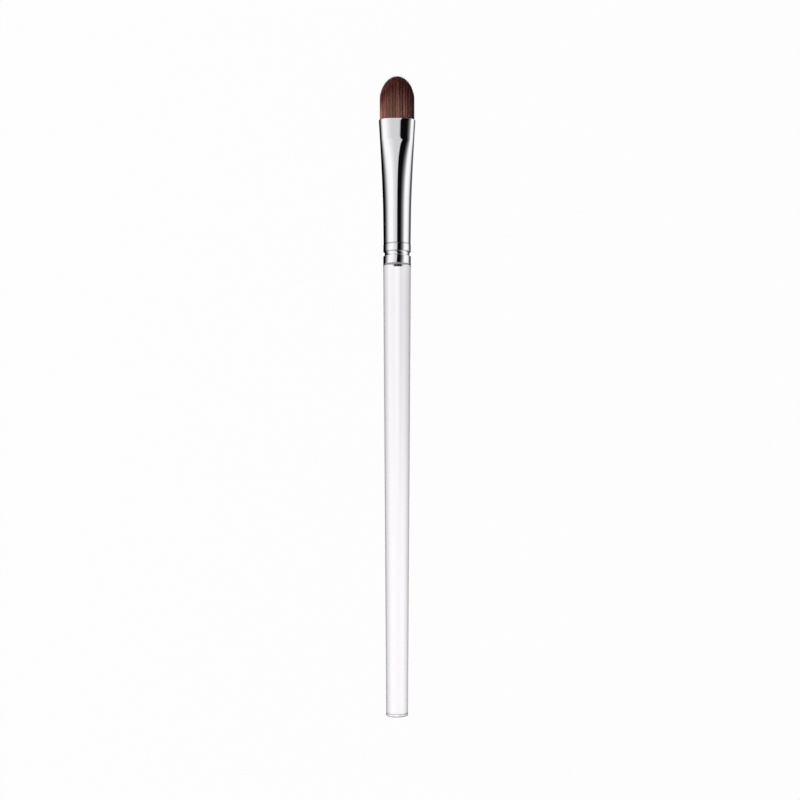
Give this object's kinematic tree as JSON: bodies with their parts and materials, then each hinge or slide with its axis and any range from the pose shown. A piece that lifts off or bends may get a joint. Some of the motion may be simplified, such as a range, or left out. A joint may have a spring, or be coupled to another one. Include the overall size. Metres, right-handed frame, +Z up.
{
  "type": "concealer brush",
  "caption": "Make-up concealer brush with a clear tapered rod handle, a plated ferrule pressed from round to oval, and a dense dome-ended filbert tuft of brown filaments.",
  "frame": {"origin": "on the surface that the brush lies on, under the middle of its length and width", "axes": "+Y along the brush from the butt to the tuft's tip, +Z up out of the tuft's flat front face, +X across the width of the mouth"},
  "size_m": [0.0094, 0.1642, 0.0073],
  "materials": {
    "clear_acrylic": "polished clear acrylic",
    "cement": "cured glue",
    "plated_metal": "bright nickel plate, polished",
    "resin": "cast resin",
    "filament": "tapered synthetic filament, brown with darker tips"
  },
  "bodies": {
    "root": {"handle": "clear_acrylic", "tenon_cement": "cement", "ferrule": "plated_metal", "root_resin": "resin", "filament_tuft": "filament"}
  },
  "joints": []
}
